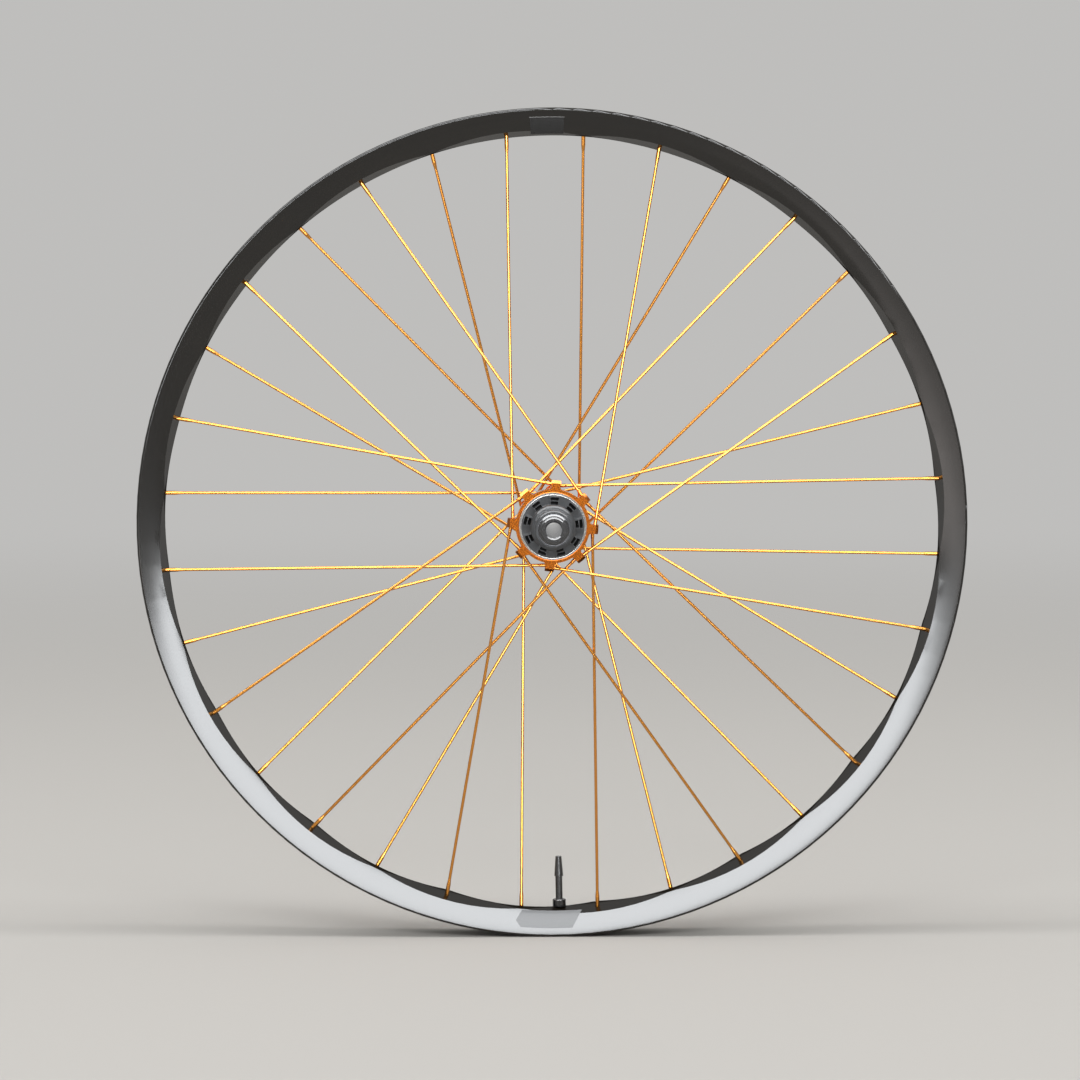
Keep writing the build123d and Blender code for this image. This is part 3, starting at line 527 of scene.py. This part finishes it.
gold_spoke = finish_material(
    "gold anodised spoke",
    first=(0.62, 0.228, 0.006),
    second=(0.70, 0.272, 0.012),
    gloss=(0.15, 0.20),
    metal=1.0,
    grain=(4.0, 8.0),
    cast=(12.0, 60.0),
    Coat_Weight=0.8,
    Coat_Roughness=0.11,
    Coat_IOR=1.7,
)
# The freehub's black alloy, with painted shade in its spline windows
black_satin = finish_material(
    "black anodised alloy",
    first=(0.058, 0.061, 0.066),
    second=(0.086, 0.091, 0.098),
    gloss=(0.15, 0.22),
    grain=(30.0, 3600.0),
    cast=(60.0, 4200.0),
    streak_height=0.008,
    speckle_height=0.010,
    paint_window_shade=True,
    Specular_IOR_Level=0.35,
)
black_cap = finish_material(
    "black polished alloy",
    first=(0.007, 0.007, 0.008),
    second=(0.013, 0.013, 0.015),
    gloss=(0.10, 0.16),
    grain=(30.0, 4800.0),
    cast=(60.0, 4200.0),
    streak_height=0.004,
    IOR=1.8,
)
silver_alloy = finish_material(
    "turned silver alloy",
    first=(0.66, 0.67, 0.69),
    second=(0.76, 0.77, 0.79),
    gloss=(0.20, 0.30),
    metal=1.0,
    grain=(24.0, 5200.0),
    streak_height=0.010,
)
ring_steel = finish_material(
    "bright ring steel",
    first=(0.40, 0.392, 0.382),
    second=(0.48, 0.471, 0.461),
    gloss=(0.09, 0.13),
    metal=1.0,
    grain=(24.0, 5200.0),
    streak_height=0.008,
)
pawl_steel = finish_material(
    "hardened pawl steel",
    first=(0.30, 0.29, 0.28),
    second=(0.42, 0.41, 0.39),
    gloss=(0.28, 0.40),
    metal=1.0,
    cast=(120.0, 3200.0),
    speckle_height=0.010,
)
spring_wire = finish_material(
    "spring wire",
    first=(0.50, 0.49, 0.47),
    second=(0.62, 0.61, 0.60),
    gloss=(0.20, 0.30),
    metal=1.0,
    grain=(40.0, 2600.0),
)
# Painted shade: the bearing steel is much darker than bare steel, standing for the shade the rings
# sit in between the parts
shade_darkened_race_steel = finish_material(
    "ground bearing steel darkened as painted shade",
    first=(0.11, 0.11, 0.12),
    second=(0.16, 0.16, 0.17),
    gloss=(0.12, 0.18),
    metal=1.0,
    grain=(30.0, 6400.0),
    streak_height=0.006,
)
seal_rubber = finish_material(
    "seal rubber",
    first=(0.018, 0.018, 0.019),
    second=(0.030, 0.030, 0.031),
    gloss=(0.52, 0.66),
    cast=(90.0, 3600.0),
    speckle_height=0.03,
)
core_brass = finish_material(
    "valve core brass",
    first=(0.60, 0.42, 0.16),
    second=(0.70, 0.50, 0.22),
    gloss=(0.22, 0.34),
    metal=1.0,
    cast=(150.0, 3600.0),
)
badge_print = finish_material(
    "matt badge print",
    first=(0.005, 0.005, 0.005),
    second=(0.008, 0.008, 0.0085),
    gloss=(0.40, 0.50),
    grain=(9.0, 900.0),
    cast=(60.0, 2600.0),
    Specular_IOR_Level=0.15,
    Coat_Weight=0.6,
    Coat_Roughness=0.12,
    Coat_IOR=1.54,
)
badge_edging = finish_material(
    "badge edging",
    first=(0.13, 0.13, 0.13),
    second=(0.18, 0.18, 0.18),
    gloss=(0.30, 0.40),
    metal=0.6,
    cast=(60.0, 2600.0),
)

node_finishes = {
    "rim": carbon_rim,
    "rim_tape": channel_tape,
    "hub_shell": gold_shell,
    "drive_ring": ring_steel,
    "freehub_body": black_satin,
    "pawl_1": pawl_steel,
    "pawl_2": pawl_steel,
    "pawl_3": pawl_steel,
    "pawl_spring": spring_wire,
    "freehub_seal": seal_rubber,
    "hub_bearing_outer_rings": shade_darkened_race_steel,
    "hub_bearing_inner_rings": shade_darkened_race_steel,
    "hub_bearing_seals": seal_rubber,
    "freehub_bearing_outer_rings": shade_darkened_race_steel,
    "freehub_bearing_inner_rings": shade_darkened_race_steel,
    "freehub_bearing_seals": seal_rubber,
    "axle": silver_alloy,
    "axle_spacers": silver_alloy,
    "end_cap_drive": black_cap,
    "end_cap_brake": black_cap,
    "valve_stem": black_cap,
    "valve_base": seal_rubber,
    "valve_nut": black_cap,
    "valve_core": core_brass,
    "valve_cap": black_cap,
}
for name, node in nodes.items():
    finish = gold_spoke if name.startswith("spoke_") else node_finishes[name]
    node.data.materials.clear()
    node.data.materials.append(finish)


# Added pieces

def polar(radius, angle, y=0.0):
    """A point at a distance and an angle from the wheel axis, seen from the drive side."""
    return Vector((radius * cos(radians(angle)), y, radius * sin(radians(angle))))


def coil(inner, crest, pitch, turns, steps):
    """A closed ridge wound up the Z axis from the origin, with a triangular section in mm."""
    mesh = bmesh.new()
    corners = ((inner, 0, 0), (crest, 0, pitch / 2), (inner, 0, pitch))
    section = mesh.faces.new([mesh.verts.new([value * mm for value in spot]) for spot in corners])
    bmesh.ops.spin(
        mesh,
        geom=[section, *section.edges, *section.verts],
        cent=(0, 0, 0),
        axis=(0, 0, 1),
        dvec=(0, 0, pitch * mm / steps),
        angle=2 * pi * turns,
        steps=round(steps * turns),
        use_duplicate=False,
    )
    bmesh.ops.recalc_face_normals(mesh, faces=mesh.faces)
    return mesh


def stood(mesh, start, run):
    """The mesh moved from the origin to start, with its Z axis laid along run."""
    turn = Vector(run).to_track_quat("Z", "Y").to_matrix().to_4x4()
    bmesh.ops.transform(mesh, matrix=Matrix.Translation(start) @ turn, verts=mesh.verts)
    return mesh


def piece(name, meshes, finish, body, smooth=True):
    """One object made of several meshes, which rides on a body and takes a finish."""
    joined = bmesh.new()
    for mesh in meshes:
        part = bpy.data.meshes.new(name)
        mesh.to_mesh(part)
        mesh.free()
        joined.from_mesh(part)
        bpy.data.meshes.remove(part)
    made = loose_object(name, joined, finish)
    for face in made.data.polygons:
        face.use_smooth = smooth
    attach(made, body)


# Spoke ends: the threads that show between each spoke's body and its lug
spoke_count = 32
first_hole = 6.7
seat_radius = 299.5 * mm
seat_aside = 3.5 * mm
foot_aside = 2.5 * mm
lug_lead = 78.75
lug_width = 7.0 * mm
thread_shown = 3.5 * mm
thread_overlap = 0.1 * mm
flanges = {
    "drive": {"outward": -1, "y": -21.6 * mm, "left": 30.3 * mm, "right": 31.5 * mm},
    "brake": {"outward": 1, "y": 33.6 * mm, "left": 20.1 * mm, "right": 21.3 * mm},
}
spoke_threads = {"drive": [], "brake": []}
for number in range(spoke_count):
    angle = first_hole + 360 / spoke_count * number
    side = "drive" if number % 2 == 0 else "brake"
    turns_left = (number // 2) % 2 == 0
    flange = flanges[side]
    outward = flange["outward"]
    tangent = flange["left" if turns_left else "right"]
    set_shift = -outward if turns_left else outward
    foot_angle = degrees(acos(tangent / seat_radius))
    lug_reach = tangent * tan(radians(foot_angle - lug_lead))
    seat = polar(seat_radius, angle, outward * seat_aside)
    foot = polar(
        tangent,
        angle + (foot_angle if turns_left else -foot_angle),
        flange["y"] + set_shift * foot_aside,
    )
    run = (foot - seat).normalized()
    start = foot - run * (lug_reach + lug_width / 2 + thread_shown)
    thread = coil(inner=1.25, crest=1.47, pitch=0.45, turns=8, steps=12)
    spoke_threads[side].append(stood(thread, start - run * thread_overlap, run))
for side, threads in spoke_threads.items():
    piece("spoke_threads_" + side, threads, gold_spoke, "wheel")

# Freehub core: the thread between the splined flange and the nose
core_thread_start = (0, -36.4 * mm, 0)
core_thread = stood(
    coil(inner=16.6, crest=17.0, pitch=1.0, turns=9, steps=72), core_thread_start, (0, -1, 0)
)
piece("freehub_core_thread", [core_thread], black_satin, "freehub")

# Rotor bolt holes: the thread inside each of the six lobes
bolt_count = 6
bolt_circle_radius = 22 * mm
bolt_thread_y = 45.9 * mm
hole_threads = []
for number in range(bolt_count):
    thread = coil(inner=2.16, crest=1.96, pitch=0.8, turns=11, steps=18)
    start = polar(bolt_circle_radius, 90 + 360 / bolt_count * number, bolt_thread_y)
    hole_threads.append(stood(thread, start, (0, 1, 0)))
piece("rotor_hole_threads", hole_threads, gold_shell, "wheel")

# Valve: the stem's outside thread between the cap and the nut
valve_angle = 271.075
stem_thread_start = 272.6 * mm
valve_out = polar(1, valve_angle)
stem_thread = stood(
    coil(inner=2.55, crest=2.80, pitch=0.8, turns=22, steps=24),
    valve_out * stem_thread_start,
    valve_out,
)
piece("valve_stem_thread", [stem_thread], black_cap, "wheel")


# Rim badges: plain printed patches on the drive side wall

wall_inner_radius = 296.8
wall_height = 18.4
wall_inner_half_width = 14.5
wall_lean = 3.5
wall_bulge = 1.2
film_gap = 0.06
film_thickness = 0.05


def wall_point(radius, angle):
    """A point just off the side wall, which is slightly convex, from a radius in mm."""
    share = (radius - wall_inner_radius) / wall_height
    half = wall_inner_half_width + wall_lean * share + wall_bulge * share * (1 - share)
    return polar(radius * mm, angle, -(half + film_gap) * mm)


def side_wall_patch(lower, upper, first_angle, last_angle, steps, rows=6):
    """A strip of the side wall between two radii in mm and two angles, lifted off it."""
    mesh = bmesh.new()
    line = [
        mesh.verts.new(wall_point(lower + (upper - lower) * row / rows, first_angle))
        for row in range(rows + 1)
    ]
    edges = [mesh.edges.new(pair) for pair in zip(line, line[1:])]
    bmesh.ops.spin(
        mesh,
        geom=[*line, *edges],
        cent=(0, 0, 0),
        axis=(0, -1, 0),
        dvec=(0, 0, 0),
        angle=radians(last_angle - first_angle),
        steps=steps,
        use_duplicate=False,
    )
    return mesh


def trim(mesh, start, end):
    """Cuts off what lies on the right of a line between two pairs of angle and radius in mm."""
    first, last = polar(start[1] * mm, start[0]), polar(end[1] * mm, end[0])
    across = (last - first).cross(Vector((0, -1, 0)))
    bmesh.ops.bisect_plane(
        mesh,
        geom=[*mesh.verts, *mesh.edges, *mesh.faces],
        plane_co=first,
        plane_no=across,
        clear_outer=True,
    )


def thickened(mesh):
    """The open patch closed to a thin film."""
    bmesh.ops.recalc_face_normals(mesh, faces=mesh.faces)
    bmesh.ops.solidify(mesh, geom=mesh.faces[:], thickness=film_thickness * mm)
    bmesh.ops.recalc_face_normals(mesh, faces=mesh.faces)
    return mesh


top_patch = side_wall_patch(
    lower=297.2, upper=309.5, first_angle=88.43, last_angle=93.2, steps=14
)
top_edging = side_wall_patch(
    lower=309.55, upper=310.05, first_angle=88.33, last_angle=93.3, steps=14
)
low_patch = side_wall_patch(
    lower=297.2, upper=310.4, first_angle=264.5, last_angle=274.6, steps=28
)
low_patch_cuts = (
    ((265.60, 296.2), (264.71, 305.4)),
    ((264.71, 305.4), (265.46, 310.4)),
    ((272.83, 310.4), (274.36, 297.2)),
)
for start, end in low_patch_cuts:
    trim(low_patch, start, end)
for name, patch, finish in (
    ("rim_badge_top", top_patch, badge_print),
    ("rim_badge_edging", top_edging, badge_edging),
    ("rim_badge_low", low_patch, badge_print),
):
    piece(name, [thickened(patch)], finish, "wheel", smooth=False)
